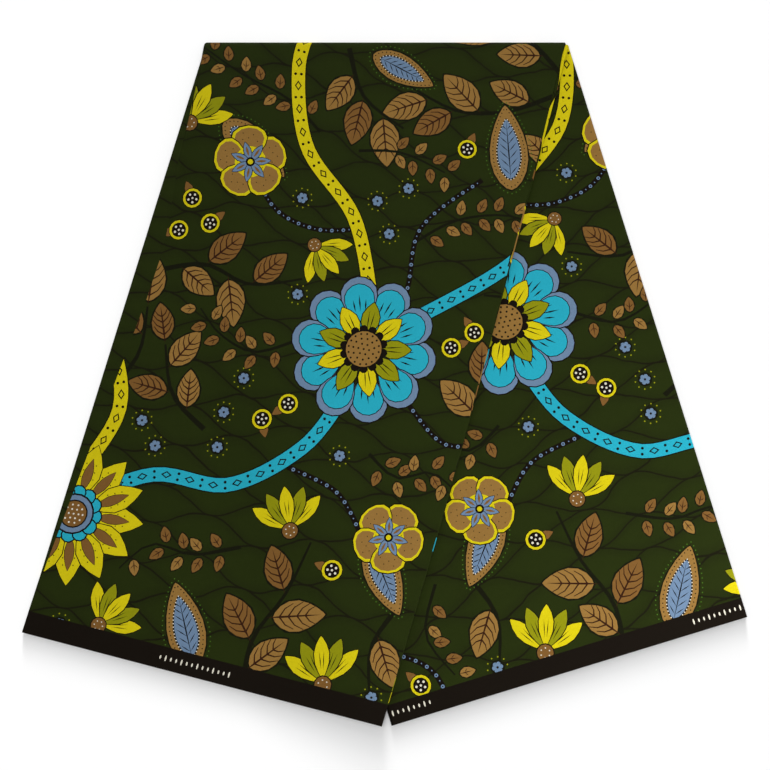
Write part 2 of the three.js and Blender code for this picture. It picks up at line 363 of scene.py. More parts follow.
def brown_blossom(r):
    """Five round brown petals with a yellow rim, and a slate star over them."""
    out = []
    for turn in around(5, 0.25):
        whole = rimmed("yellow", 0.03 * r, 0.10 * r, 0.90 * r, 0.98 * r, 0.62, 0.45)
        whole.append(("light brown", petal(0.16 * r, 0.78 * r, 0.82 * r, 0.62, 0.45)))
        for x, y in ((0.62, 0.18), (0.74, -0.12), (0.80, 0.16), (0.55, -0.22), (0.66, 0.02)):
            whole.append(("ink", disc(0.018 * r, 4, (x * r, y * r))))
        out += shapes_at(whole, turn)
    out.append(("yellow", disc(0.43 * r, 18)))
    for count, ring in ((9, 0.36), (12, 0.28)):
        out += dots("ink", 0.014 * r, 4, ring * r, around(count, 0.3))
    ray = rimmed("slate", 0.02 * r, 0.0, 0.56 * r, 0.20 * r, 0.5, 0.9)
    ray.append(("brown", petal(0.16 * r, 0.28 * r, 0.07 * r, 0.5, 0.9, sides=4)))
    for turn in around(7):
        out += shapes_at(ray, turn)
    return out + [("ink", disc(0.13 * r, 12)), ("yellow", disc(0.075 * r, 8))]


VEIN_BEND = ((0, 0, 1.0), (0.42, 0.58, 0.75), (1.0, 0.9, 0.45))  # a vein's way: ahead, aside and direction


def leaf(length, ink):
    """A pointed oval leaf with a midrib and four pairs of veins that bend towards its tip."""
    out = rimmed(ink, 1.8, 0, length, 0.60 * length, 0.42, 0.8, rim="stem", sides=8, rim_sides=6)
    out.append(("vein", petal(-0.12 * length, 1.05 * length, 1.7, 0.3, 0.6, sides=3)))
    for f, reach in ((0.12, 0.27), (0.29, 0.29), (0.46, 0.25), (0.62, 0.18)):
        for side in (-1, 1):
            bend = [
                (f * length + x * reach * length, side * y * reach * length, side * turn)
                for x, y, turn in VEIN_BEND
            ]
            out.append(("vein", stroke(bend, 1.3, 0.6)))
    return out


def leaflet(length, ink):
    """A small leaf with a midrib and one pair of veins."""
    out = rimmed(ink, 1.2, 0, length, 0.64 * length, 0.42, 0.75, rim="stem", sides=5, rim_sides=4)
    out.append(("vein", petal(-0.1 * length, 0.95 * length, 1.1, 0.3, 0.6, sides=2)))
    vein = petal(0, 0.34 * length, 0.8, 0.3, 0.7, sides=2)
    return out + leaning("vein", vein, (-0.8, 0.8), (0.3 * length, 0))


def berry(r):
    """A round berry: yellow rim, dark middle with cream seeds, brown cap."""
    out = rimmed("brown", 0.5, 0.55 * r, 1.35 * r, 0.95 * r, 0.3, 0.8, sides=4)
    out += [("ink", disc(1.08 * r, 14)), ("yellow", disc(r, 14))]
    out += [("ink", disc(0.76 * r, 12)), ("cream", disc(0.12 * r, 6))]
    return out + dots("cream", 0.13 * r, 6, 0.44 * r, around(5, 0.2))


def bud(length):
    """A half-open flower: pointed petals, yellow and olive by turns, fanned out of a brown cup."""
    out = []
    vein = petal(0.3 * length, 0.4 * length, 0.02 * length, 0.4, 0.9, sides=2)
    for lean in (-0.86, 0.86, -0.43, 0.43, 0.0):
        ink = "olive" if abs(lean) == 0.43 else "yellow"
        whole = rimmed(ink, 0.9, 0.1 * length, 0.9 * length, 0.32 * length, 0.55, 0.85)
        out += shapes_at(whole + leaning("ink", vein, (-0.07, 0.07)), lean)
    out += [("ink", disc(0.2 * length, 12)), ("brown", disc(0.175 * length, 12))]
    return out + dots("cream", 0.018 * length, 4, 0.1 * length, around(6))


def feather(length):
    """A slender slate leaf inside a dotted brown rim, with cream and green dots round each."""

    def oval(start, long, wide, grow=0.0, sides=10):
        return petal(start * length, long * length, wide * length, 0.41, 0.75, grow, sides)

    out = [
        ("stem", oval(0, 1.0, 0.44, grow=1.5, sides=7)),
        ("light brown", oval(0, 1.0, 0.44)),
        ("ink", oval(0.13, 0.70, 0.26, grow=1.5, sides=8)),
        ("slate", oval(0.13, 0.70, 0.26, sides=8)),
        ("ink", petal(0.06 * length, 0.78 * length, 1.3, 0.3, 0.5, sides=2)),
    ]
    for f in (0.18, 0.27, 0.36, 0.45, 0.54, 0.63, 0.71):
        vein = petal(0, (0.16 - 0.13 * abs(f - 0.36)) * length, 1.0, 0.3, 0.7, sides=2)
        out += leaning("ink", vein, (-0.75, 0.75), (f * length, 0))
    dotted = (
        ("cream", oval(0.13, 0.70, 0.26, grow=0.7), 2.9, 0.65),
        ("ink", oval(0, 1.0, 0.44, grow=-0.036 * length), 3.6, 0.68),
        ("green", oval(0, 1.0, 0.44, grow=3.4), 4.0, 0.65),
    )
    for ink, outline, step, r in dotted:
        out += [(ink, disc(r, 4, (x, y))) for x, y, _ in along([*outline, outline[0]], step)[:-1]]
    return out


def rosette():
    """A tiny slate flower in a ring of olive dots."""
    out = [("stem", disc(6.4, 10)), *dots("slate", 1.9, 6, 3.0, around(6))]
    out += [("slate", disc(2.6, 8)), ("ink", disc(1.1, 6))]
    return out + dots("olive", 0.8, 4, 8.6, around(10))


# The design's sizes: how fine its curves are, widths, steps from mark to mark, and its small motifs
LINE_STEP = 9.0
BAND_WIDTH = 12.0
BAND_MARK_STEP = 10.5
CHAIN_WIDTH = 4.6
BEAD_STEP = 5.2
STEM_STEP = 12.0
LEAF_STEP = 24.0
LEAFLET_STEP = 16.0
LEAFLET_LENGTH = 13.5
BERRY_RADIUS = 8.6


def band(points, ink):
    """A winding band marked with open lozenges and pairs of dots by turns."""

    def lozenge(size):
        return [(1.5 * size * x, size * y) for x, y in disc(1, 4)]

    line = along(points, LINE_STEP)
    out = [("stem", stroke(line, BAND_WIDTH + 2.0)), (ink, stroke(line, BAND_WIDTH))]
    marks = (
        [("ink", disc(1.35, 6, (0, side * 2.6))) for side in (-1, 1)],
        [("ink", lozenge(3.1)), (ink, lozenge(1.9))],
    )
    for i, (x, y, d) in enumerate(along(points, BAND_MARK_STEP)[1:-1]):
        out += shapes_at(marks[i % 2], d, (x, y))
    return out


def chain(points):
    """A dark line strung with slate beads, large and small by turns."""
    out = [("ink", stroke(along(points, LINE_STEP), CHAIN_WIDTH))]
    for i, (x, y, _) in enumerate(along(points, BEAD_STEP)[1:-1]):
        if i % 2:
            out.append(("slate", disc(0.7, 4, (x, y))))
        else:
            out += [("slate", disc(1.7, 7, (x, y))), ("ink", disc(0.75, 5, (x, y)))]
    return out


def discs_of(spots, turn, at):
    """Discs that stand for a motif, from spots on its axis, each a distance and a radius."""
    return [(*polar(f, turn, at), r) for f, r in spots]


def where_clear(shapes, turn, at, spots, taken):
    """A small motif in its place, or nothing where it would touch one that is taken, in any repeat."""
    own = discs_of(spots, turn, at)
    for x, y, r in own:
        for a, b, s in taken:
            aside = (x - a + REPEAT / 2) % REPEAT - REPEAT / 2
            if math.hypot(aside, y - b) < r + s:
                return []
    taken += own
    return shapes_at(shapes, turn, at)


def sprig(points, length, taken):
    """A tapering stem with large leaves by turns to one side and the other, and one at its tip."""
    out = [("stem", stroke(along(points, STEM_STEP), 4.6, 1.8))]
    line = along(points, LEAF_STEP)[1:]
    for i, (x, y, d) in enumerate(line):
        at_tip = i == len(line) - 1
        lean = 0.0 if at_tip else (0.85 if i % 2 else -0.85)
        size = length * (0.9 + 0.07 * (i * 7 % 3))
        shapes = leaf(size, "brown" if i % 2 else "light brown")
        spots = ((0.38 * size, 0.27 * size), (0.72 * size, 0.15 * size))
        for turn in (d + lean, d - lean):
            found = where_clear(shapes, turn, polar(5, turn, (x, y)), spots, taken)
            if found:
                out += found
                break
    return out


def vine(points, taken):
    """A thin stem with pairs of small leaflets."""
    out = [("stem", stroke(along(points, STEM_STEP), 2.8, 1.3))]
    spots = ((0.5 * LEAFLET_LENGTH, 0.32 * LEAFLET_LENGTH),)
    for i, (x, y, d) in enumerate(along(points, LEAFLET_STEP)[1:]):
        for side in (-1, 1):
            turn = d + side * (0.95 if i % 2 else 1.15)
            shapes = leaflet(LEAFLET_LENGTH, "brown" if (i + side) % 3 else "light brown")
            out += where_clear(shapes, turn, polar(4.2, turn, (x, y)), spots, taken)
    return out


# The places of the motifs in one repeat of the design. x runs across the strip from its left edge on the
# front leaf, y from the selvedge to the cloth's middle, and the other half of the cloth mirrors it.
REPEAT = 400.0
# Each the length of its leaves, and points along its stem
SPRIGS = (
    (42, ((318, 566), (280, 540), (236, 528), (186, 540))),
    (40, ((10, 322), (52, 338), (96, 330), (140, 346))),
    (42, ((196, -8), (190, 40), (206, 84), (214, 130))),
    (40, ((346, 196), (330, 240), (318, 292))),
    (36, ((96, 200), (60, 222), (40, 262))),
    (36, ((372, 360), (340, 376), (300, 372))),
    (44, ((300, 96), (288, 58), (300, 16))),
    (42, ((128, 560), (150, 520), (192, 500))),
    (40, ((8, 214), (20, 250), (14, 290))),
    (38, ((352, 510), (324, 500), (296, 520))),
)
# Points along each line, with the band's own ink before them
VINES = (
    ((120, 478), (86, 500), (40, 512), (-4, 530)),
    ((226, 400), (258, 430), (300, 446), (338, 444)),
    ((150, 292), (118, 274), (84, 282), (60, 300)),
    ((158, 112), (120, 96), (84, 96), (64, 70)),
    ((240, 214), (268, 200), (296, 212), (322, 200)),
    ((158, 470), (196, 478), (238, 470)),
    ((330, 100), (350, 62), (336, 24)),
)
BANDS = (
    ("turquoise", ((372, 578), (374, 520), (352, 462), (310, 398), (250, 340))),
    ("turquoise", ((206, 262), (184, 206), (132, 160), (66, 152), (8, 112))),
    ("yellow", ((92, 578), (88, 530), (112, 462), (170, 410), (206, 340))),
    ("yellow", ((402, 130), (420, 196), (396, 250), (356, 300), (346, 400))),
)
CHAINS = (
    ((70, 430), (100, 400), (140, 392), (178, 402)),
    ((262, 262), (300, 238), (340, 250), (384, 268)),
    ((250, 150), (222, 176), (176, 186)),
    ((408, 60), (376, 52), (352, 30), (346, -8)),
    ((206, 300), (232, 352), (230, 416), (272, 472)),
)
# Each x, y and direction
BERRIES = (
    (24, 392, 2.2), (46, 374, 0.9), (20, 362, 3.6), (284, 320, 0.6), (300, 338, 2.4),
    (160, 238, 4.0), (142, 220, 5.2), (96, 30, 1.2), (120, 44, 0.2), (88, 56, 2.8),
    (252, 496, 1.4), (276, 484, 0.4), (330, 490, 2.0), (238, 112, 3.0), (366, 24, 1.0),
)
# Feathers and buds, each x, y, direction and length
FEATHERS = (
    (34, 466, -0.5, 74), (300, 470, 1.9, 78), (150, 8, 2.1, 72), (262, 142, -0.9, 66),
    (384, 330, 2.6, 74), (150, 560, -0.25, 60),
)
BUDS = (
    (194, 135, 2.0, 38), (142, 378, -0.6, 34), (62, 21, 1.05, 36), (258, 20, 1.9, 40),
    (4, 457, 1.3, 40), (366, 196, 0.5, 36),
)
ROSETTES = (
    (140, 332), (176, 250), (250, 262), (276, 300), (228, 386), (60, 176), (112, 188),
    (30, 14), (330, 168), (210, 448), (130, 520), (300, 20), (384, 440), (360, 148),
    (236, 444), (186, 430), (116, 250), (90, 350), (240, 60), (160, 72), (176, 40),
    (390, 520), (270, 556), (52, 560), (110, 140), (290, 196), (40, 60), (392, 220),
    (108, 218), (216, 206), (120, 416), (204, 404), (72, 128), (42, 194), (312, 68),
)
# Discs that stand for a feather and a bud of length 1, each its distance along it and its radius
FEATHER_SPOTS = ((0.2, 0.2), (0.42, 0.24), (0.66, 0.2), (0.88, 0.1))
BUD_SPOTS = ((0.5, 0.78),)
# Each its motif, radius, x, y and direction
BLOOMS = (
    (brown_blossom, 33, 66, 436, 0.3),
    (brown_blossom, 30, 276, 150, 0.9),
    (brown_blossom, 32, 346, 410, 0.1),
    (sun_bloom, 60, 412, 104, 0.1),
    (great_bloom, 64, 210, 300, 0.05),
)


def design():
    """One repeat's shapes, lowest first. Leaves, berries and rosettes keep clear of the rest."""
    taken = [(x, y, radius + 1.5) for _, radius, x, y, _ in BLOOMS]
    winding = [(points, BAND_WIDTH / 2 + 2.0) for _, points in BANDS]
    winding += [(points, 3.5) for points in CHAINS]
    for points, half in winding:
        taken += [(x, y, half) for x, y, _ in along(points, 6.0)]
    small, berries, large = [], [], []
    for motif, places, spots in ((feather, FEATHERS, FEATHER_SPOTS), (bud, BUDS, BUD_SPOTS)):
        for x, y, turn, length in places:
            taken += discs_of([(f * length, r * length) for f, r in spots], turn, (x, y))
            large += shapes_at(motif(length), turn, (x, y))
    for x, y, turn in BERRIES:
        berries += where_clear(berry(BERRY_RADIUS), turn, (x, y), ((0.0, 9.0), (10.0, 5.0)), taken)
    for length, points in SPRIGS:
        small += sprig(points, length, taken)
    for points in VINES:
        small += vine(points, taken)
    for at in ROSETTES:
        small += where_clear(rosette(), 0.0, at, ((0.0, 9.6),), taken)
    out = small + berries
    for points in CHAINS:
        out += chain(points)
    for ink, points in BANDS:
        out += band(points, ink)
    out += large
    for bloom, radius, x, y, turn in BLOOMS:
        out += shapes_at(bloom(radius), turn, (x, y))
    return out


# Small plain cream dashes stand on the dark bands: each run's q at its start, its v, and how many
DASH_RUNS = ((134.0, 9.0, 14), (319.0, CLOTH_WIDTH - 9.0, 8), (584.0, CLOTH_WIDTH - 9.0, 11))


def selvedge_marks():
    """The dark bands, which run a little past the cloth's edges, and the dashes on them."""
    out = []
    for low, high in ((-5.0, FRONT_BAND), (CLOTH_WIDTH - REAR_BAND, CLOTH_WIDTH + 5.0)):
        out.append(("selvedge", rectangle(Q_FIRST - 5, low, Q_LAST + 5, high)))
    for start, middle, count in DASH_RUNS:
        for i in range(count):
            long = 1.7 if i % 3 else 2.6
            out.append(("cream", [(start + 4.6 * i + 0.75 * x, middle + long * y) for x, y in disc(1.0, 6)]))
    return out


FINE_AREA = 40.0  # of a dot or a vein, in square millimetres


def is_fine_and_hidden(outline):
    """Whether a shape is a dot or a vein and lies on a side of its leaf that faces down."""
    q, v = outline[0]
    faces_down = (q > LEFT_TURN) == (v < FRONT_LENGTH)
    in_fold = abs(q - LEFT_TURN) < 12 or abs(v - FRONT_LENGTH) < 50
    ahead = outline[1:] + outline[:1]
    area = abs(sum(a * d - b * c for (a, b), (c, d) in zip(outline, ahead))) / 2
    return faces_down and not in_fold and area < FINE_AREA


def printed_shapes():
    """Every shape of the print on the outer ply, in q and v, the lowest first."""
    out = []
    repeat = design()
    for mirrored in (True, False):
        for k in (-2, -1, 0, 1):
            for ink, outline in repeat:
                moved = [
                    (STRIP_WIDTH - x + REPEAT * k, CLOTH_WIDTH - y if mirrored else y) for x, y in outline
                ]
                qs, vs = zip(*moved)
                on_cloth = max(qs) > Q_FIRST and min(qs) < Q_LAST and max(vs) > 0 and min(vs) < CLOTH_WIDTH
                if on_cloth and not is_fine_and_hidden(moved):
                    out.append((ink, moved))
    return out + selvedge_marks()


# The inks, as 8-bit screen colours in this scene's light
INKS = {
    "ground": (37, 46, 14),
    "ink": (23, 18, 13),
    "stem": (24, 25, 13),
    "selvedge": (24, 19, 14),
    "turquoise": (40, 168, 190),
    "slate": (108, 132, 160),
    "yellow": (212, 196, 20),
    "olive": (142, 142, 18),
    "brown": (124, 88, 44),
    "light brown": (146, 110, 56),
    "cream": (226, 220, 202),
    "vein": (54, 30, 17),
    "green": (70, 108, 34),
}
LIGHT = 1.80  # what the light multiplies a colour by, at the middle of the wrap
HAZE = 0.0018  # what the cloth's faint gloss adds to it


def linear(value):
    """An 8-bit screen value as light, from 0 to 1."""
    f = value / 255
    return f / 12.92 if f <= 0.04045 else ((f + 0.055) / 1.055) ** 2.4


def dye_colour(ink):
    """The cloth's own colour that gives an ink its colour in the light."""
    return tuple(max(0.0004, (linear(value) - HAZE) / LIGHT) for value in INKS[ink])


def clipped_lines():
    """Lines that the cloth's faces must follow, where it bends: along its folds and across its turn."""
    left_fold = LEFT_TURN + np.linspace(-1, 1, 13) * np.pi / 2 * WIDE_FOLD
    lower_fold = LOWER_START + np.linspace(0, 1, 8) * np.pi * LOWER_FOLD
    lines = [[(q, v) for v in (0.0, CLOTH_WIDTH)] for q in (*left_fold, *lower_fold)]
    for f in np.linspace(0, 1, 6):
        vs = np.linspace(0.0, CLOTH_WIDTH, 59)
        lines.append([(float(upper_start(v)) - f * np.pi * UPPER_FOLD, v) for v in vs])
    qs = np.concatenate([
        [Q_FIRST, -3.0],
        np.linspace(-1.0, 4.0, 6),
        [60.0, 120.0, 180.0, 240.0, 300.0],
        left_fold,
        [380.0, 440.0, 500.0, 560.0, LOWER_START - 4.0],
        lower_fold,
        [Q_LAST],
    ])
    half_turn = np.pi / 2 * (PLY_HEIGHTS[0] + PLY / 2 + LEAF_GAP / 2)
    across_turn = np.linspace(0, 1, 14) ** 1.25 * half_turn
    ts = np.concatenate([across_turn, [0.12, 0.26, 0.42, half_turn + 1.5, 14.0]])
    for t in sorted({round(float(side * t), 3) for t in ts for side in (-1, 1)}):
        line = []
        for q in qs:
            v = FRONT_LENGTH
            for _ in range(3):  # u depends a little on v, by the setback
                v = float(beside_crest(outer_way(q, v)[0], t))
            line.append((float(q), v))
        lines.append(line)
    for v in (FRONT_BAND, CLOTH_WIDTH - REAR_BAND):
        lines.append([(float(q), v) for q in np.linspace(Q_FIRST, Q_LAST, 56)])
    return lines


def grid_points(step):
    """Points spread over the flat stretches, so that the cloth can follow its soft rises there."""
    points = []
    rows = int(CLOTH_WIDTH / step)
    columns = int((Q_LAST - Q_FIRST) / step)
    for j in range(1, rows):
        v = CLOTH_WIDTH * j / rows
        for i in range(1, columns):
            q = Q_FIRST + (Q_LAST - Q_FIRST) * (i + 0.25 * (1 if j % 2 else -1)) / columns
            u, _ = outer_way(q, v)
            off_turn = abs(float(beside_crest(u, 0.0)) - v) > 16.0
            if off_turn and abs(q - LEFT_TURN) > 6 and 3 < q < LOWER_START - 3:
                points.append((q, v))
    return points


def triangulate(outlines, lines, points):
    """Triangles of the flat cloth whose edges keep to every outline and line."""
    places, edges = [], []

    def add(run, closed):
        start = len(places)
        places.extend(Vector(p) for p in run)
        edges.extend((start + i, start + i + 1) for i in range(len(run) - 1))
        if closed:
            edges.append((start + len(run) - 1, start))

    for outline in outlines:
        add(outline, True)
    for line in lines:
        add(line, False)
    places.extend(Vector(p) for p in points)
    found = delaunay_2d_cdt(places, edges, [], 0, 1e-4, False)
    flat = np.array([tuple(p) for p in found[0]])
    faces = np.array([f for f in found[2] if len(f) == 3])
    q, v = flat[faces].mean(axis=1).T
    faces = faces[(q > Q_FIRST) & (q < Q_LAST) & (v > 0) & (v < CLOTH_WIDTH)]
    used, faces = np.unique(faces, return_inverse=True)
    return flat[used], faces.reshape(-1, 3)


def inks_of(centres, shapes, names):
    """The ink on top at each centre."""
    order = np.argsort(centres[:, 1])
    cq, cv = centres[order, 0], centres[order, 1]
    found = np.full(len(centres), names.index("ground"))
    for ink, outline in shapes:
        p = np.array(outline)
        first, last = np.searchsorted(cv, (p[:, 1].min(), p[:, 1].max()))
        row = cq[first:last]
        near = first + np.flatnonzero((row > p[:, 0].min()) & (row < p[:, 0].max()))
        if not len(near):
            continue
        q, v = cq[near][:, None], cv[near][:, None]
        after = np.roll(p, -1, axis=0)
        spans = (p[:, 1] > v) != (after[:, 1] > v)
        rise = np.where(after[:, 1] == p[:, 1], 1.0, after[:, 1] - p[:, 1])
        crossing = p[:, 0] + (v - p[:, 1]) / rise * (after[:, 0] - p[:, 0])
        inside = (spans & (q < crossing)).sum(axis=1) % 2 == 1
        found[near[inside]] = names.index(ink)
    back = np.empty(len(order), int)
    back[order] = np.arange(len(order))
    return found[back]


def border(flat):
    """The vertices on the cloth's cut edges, in order round it."""
    q, v = flat[:, 0], flat[:, 1]
    close = 1e-3
    sides = (
        (np.abs(v) < close, q),
        (np.abs(q - Q_LAST) < close, v),
        (np.abs(v - CLOTH_WIDTH) < close, -q),
        (np.abs(q - Q_FIRST) < close, -v),
    )
    ring = []
    for on_side, run in sides:
        index = np.flatnonzero(on_side)
        ring.extend(index[np.argsort(run[index])][:-1].tolist())
    return ring


def normals_at(flat, out):
    """Unit normals of the outer ply, out of the leaf."""
    step = 0.02
    q, v = flat[:, 0], flat[:, 1]
    across = outer_point(q + step, v, out) - outer_point(q - step, v, out)
    lengthwise = outer_point(q, v + step, out) - outer_point(q, v - step, out)
    normal = np.cross(lengthwise, across)
    return normal / np.linalg.norm(normal, axis=1)[:, None]


def mesh_from(name, places, faces, material):
    """An object from places in millimetres."""
    mesh = bpy.data.meshes.new(name)
    mesh.from_pydata((places * MM).tolist(), [], faces)
    mesh.materials.append(material)
    mesh.update()
    piece = bpy.data.objects.new(name, mesh)
    bpy.context.scene.collection.objects.link(piece)
    return piece


def set_uv(mesh, name, per_vertex):
    """A UV map from one place for each vertex."""
    corner = np.empty(len(mesh.loops), np.int32)
    mesh.loops.foreach_get("vertex_index", corner)
    layer = mesh.uv_layers.new(name=name)
    layer.uv.foreach_set("vector", per_vertex[corner].astype(np.float32).ravel())


PRINTED_STEP = 12.5  # between the points spread over the two faces of the cloth
BACK_STEP = 18.0


def make_outer_cloth(material):
    """The outer ply as a sheet with a printed face and a back, joined round its cut edges."""
    names = list(INKS)
    shapes = printed_shapes()
    outlines = [rectangle(Q_FIRST, 0.0, Q_LAST, CLOTH_WIDTH), *[outline for _, outline in shapes]]
    lines = clipped_lines()
    printed, printed_faces = triangulate(outlines, lines, grid_points(PRINTED_STEP))
    ink = inks_of(printed[printed_faces].mean(axis=1), shapes, names)
    rim = border(printed)
    back, back_faces = triangulate([printed[rim].tolist()], lines, grid_points(BACK_STEP))
    back_rim = border(back)
    if len(rim) != len(back_rim):
        raise RuntimeError(f"the two faces of the cloth meet in {len(rim)} and {len(back_rim)} points")
    count = len(printed)
    places = np.concatenate([
        outer_point(printed[:, 0], printed[:, 1], PLY / 2),
        outer_point(back[:, 0], back[:, 1], -PLY / 2),
    ])
    # q runs to the left on top of the front leaf, so a face that is anticlockwise in q and v looks inwards
    pairs = list(zip(rim, back_rim))
    rim_faces = [[a, b, count + d, count + c] for (a, c), (b, d) in zip(pairs, pairs[1:] + pairs[:1])]
    faces = printed_faces[:, ::-1].tolist() + (back_faces + count).tolist() + rim_faces
    piece = mesh_from("outer_cloth", places, faces, material)
    mesh = piece.data
    set_uv(mesh, "Cloth", np.concatenate([printed, back]) * MM)

    # the printed side fills most of the picture that a baked copy of the look gets
    spread = (np.concatenate([printed, back]) - (Q_FIRST, 0.0)) / CLOTH_WIDTH
    spread[count:] = spread[count:] * 0.4 + (0.59, 0.0)
    set_uv(mesh, "OFBake", spread)
    mesh.uv_layers.active = mesh.uv_layers["Cloth"]

    colours = np.array([(*dye_colour(name), 1.0 if name == "ground" else 0.0) for name in names])
    middles = [back[back_faces].mean(axis=1)[:, 1]]
    middles.append((printed[rim, 1] + printed[np.roll(rim, -1), 1]) / 2)
    on_band = [(v < FRONT_BAND) | (v > CLOTH_WIDTH - REAR_BAND) for v in middles]
    plain = [np.where(band, names.index("selvedge"), names.index("ground")) for band in on_band]
    corners = [np.repeat(found, times) for found, times in zip((ink, *plain), (3, 3, 4))]
    layer = mesh.attributes.new("print", "FLOAT_COLOR", "CORNER")
    layer.data.foreach_set("color", colours[np.concatenate(corners)].ravel())

    normals = np.concatenate([normals_at(printed, PLY / 2), -normals_at(back, -PLY / 2)])
    mesh.shade_smooth()
    mesh.normals_split_custom_set_from_vertices(normals.tolist())
    return piece


# The four inner plies: one sheet folded to three, and one single ply. Their folds and their left cut edges
# lie this far in from the strip's edges, and their right cut edges this far from the outer ply's tucked ends.
INNER_LEFT_FOLD = 0.9
INNER_RIGHT_FOLD = 2.4
INNER_CUT_EDGES = (12.0, 12.5)
TUCK_GAP = 0.4


def inner_ways():
    """The ways of both across the strip, as (u, h)."""
    top, low = PLY_HEIGHTS[1], PLY_HEIGHTS[4]
    wide, tight = (top - low) / 2, (PLY_HEIGHTS[3] - low) / 2
    left = INNER_LEFT_FOLD + wide - HALF
    right = HALF - INNER_RIGHT_FOLD - tight
    upper_tuck, lower_tuck = HALF - TURN_SETBACK - UPPER_INSET - TUCK, LOWER_CENTRE - TUCK
    first = [(u, top) for u in np.linspace(upper_tuck - TUCK_GAP, left, 20)]
    for turn in np.linspace(0, np.pi, 9)[1:-1]:
        first.append((left - wide * math.sin(turn), (top + low) / 2 + wide * math.cos(turn)))
    first += [(u, low) for u in np.linspace(left, right, 20)]
    for turn in np.linspace(0, np.pi, 7)[1:-1]:
        first.append((right + tight * math.sin(turn), low + tight - tight * math.cos(turn)))
    first += [(u, PLY_HEIGHTS[3]) for u in np.linspace(right, INNER_CUT_EDGES[0] - HALF, 20)]
    second = np.linspace(lower_tuck - TUCK_GAP, INNER_CUT_EDGES[1] - HALF, 20)
    return first, [(u, PLY_HEIGHTS[2]) for u in second]


# How far each inner ply's ends lie back inside the leaf's, by its height, the lowest ply first
INNER_ENDS = ((PLY_HEIGHTS[4], 0.8), (PLY_HEIGHTS[3], 2.2), (PLY_HEIGHTS[2], 0.4), (PLY_HEIGHTS[1], 1.6))
INSET_FADE = 100.0  # how far from an end this reaches


def inner_rows():
    """Places along the strip, in front of the crest and behind it, close together in the turn."""
    near = np.concatenate([np.linspace(0, 8.6, 10), [12.0], np.arange(20.0, 540.0, 20.0)])
    ends = (COS * FRONT_LENGTH, COS * (FRONT_LENGTH - CLOTH_WIDTH))
    return sorted({*near.tolist(), *(-near).tolist(), *ends})


def make_inner_plies(material):
    """Both inner sheets, each with two faces that are joined all round."""
    places, faces, cloth_places = [], [], []
    heights, insets = zip(*INNER_ENDS)
    rows = inner_rows()
    for way in inner_ways():
        way = np.array(way)
        ahead = np.gradient(way, axis=0)
        ahead /= np.linalg.norm(ahead, axis=1)[:, None]
        aside = np.stack([-ahead[:, 1], ahead[:, 0]], axis=1)
        inset = np.interp(way[:, 1], heights, insets)
        run = np.concatenate([[0.0], np.cumsum(np.linalg.norm(np.diff(way, axis=0), axis=1))])
        m, n = len(rows), len(way)
        start = len(places)
        for out in (-PLY / 2, PLY / 2):
            u, h = (way + out * aside).T
            for t in rows:
                # rows run along the crest near it, and square across the strip near the ends
                slant = 1 - smooth((abs(t) - 16) / 300)
                v = FRONT_LENGTH - (t - u * SIN * slant) / COS
                near_front, near_rear = 1 - smooth(v / INSET_FADE), 1 - smooth((CLOTH_WIDTH - v) / INSET_FADE)
                v = v + inset * near_front - inset * near_rear
                places.extend(place(u, v, h).tolist())
                cloth_places.extend(zip(run * MM, v * MM))

        def at(side, i, j):
            return start + side * m * n + i * n + j

        ring = [(0, j) for j in range(n)] + [(1, j) for j in reversed(range(n))]
        for i in range(m - 1):
            for (s, j), (t, k) in zip(ring, ring[1:] + ring[:1]):
                faces.append([at(s, i, j), at(t, i, k), at(t, i + 1, k), at(s, i + 1, j)])
        for j in range(n - 1):
            faces.append([at(0, 0, j + 1), at(0, 0, j), at(1, 0, j), at(1, 0, j + 1)])
            faces.append([at(0, m - 1, j), at(0, m - 1, j + 1), at(1, m - 1, j + 1), at(1, m - 1, j)])
    piece = mesh_from("inner_plies", np.array(places), faces, material)
    set_uv(piece.data, "Cloth", np.array(cloth_places))
    piece.data.shade_smooth()
    piece.data.set_sharp_from_angle(angle=math.radians(50))
    return piece


# Materials
class Nodes:
    """Short ways to add and join nodes."""

    def __init__(self, tree):
        self.tree = tree

    def add(self, kind, **settings):
        """A new node with its settings."""
        node = self.tree.nodes.new(kind)
        for name, value in settings.items():
            setattr(node, name, value)
        return node

    def join(self, value, socket):
        """Links another node's output to a socket, or sets the socket to a plain value."""
        if isinstance(value, bpy.types.NodeSocket):
            self.tree.links.new(value, socket)
        else:
            socket.default_value = value

    def math(self, operation, a, b=0.0):
        node = self.add("ShaderNodeMath", operation=operation)
        self.join(a, node.inputs[0])
        self.join(b, node.inputs[1])
        return node.outputs[0]

    def axes(self, vector):
        node = self.add("ShaderNodeSeparateXYZ")
        self.join(vector, node.inputs[0])
        return node.outputs

    def noise(self, vector, scale, detail):
        node = self.add("ShaderNodeTexNoise")
        self.join(vector, node.inputs["Vector"])
        node.inputs["Scale"].default_value = scale
        node.inputs["Detail"].default_value = detail
        return node.outputs["Fac"]

    def drift(self, vector, scale, detail, amount):
        """Noise about 0, by half the amount each way."""
        return self.math("MULTIPLY", self.math("SUBTRACT", self.noise(vector, scale, detail), 0.5), amount)

    def range(self, value, low, high, to_low, to_high):
        node = self.add("ShaderNodeMapRange")
        for socket, given in zip(node.inputs, (value, low, high, to_low, to_high)):
            self.join(given, socket)
        return node.outputs[0]

    def mix(self, factor, a, b, blend="MIX"):
        node = self.add("ShaderNodeMix", data_type="RGBA", blend_type=blend)
        self.join(factor, node.inputs["Factor"])
        for value, socket in ((a, node.inputs[6]), (b, node.inputs[7])):
            self.join((*value, 1.0) if isinstance(value, tuple) else value, socket)
        return node.outputs[2]


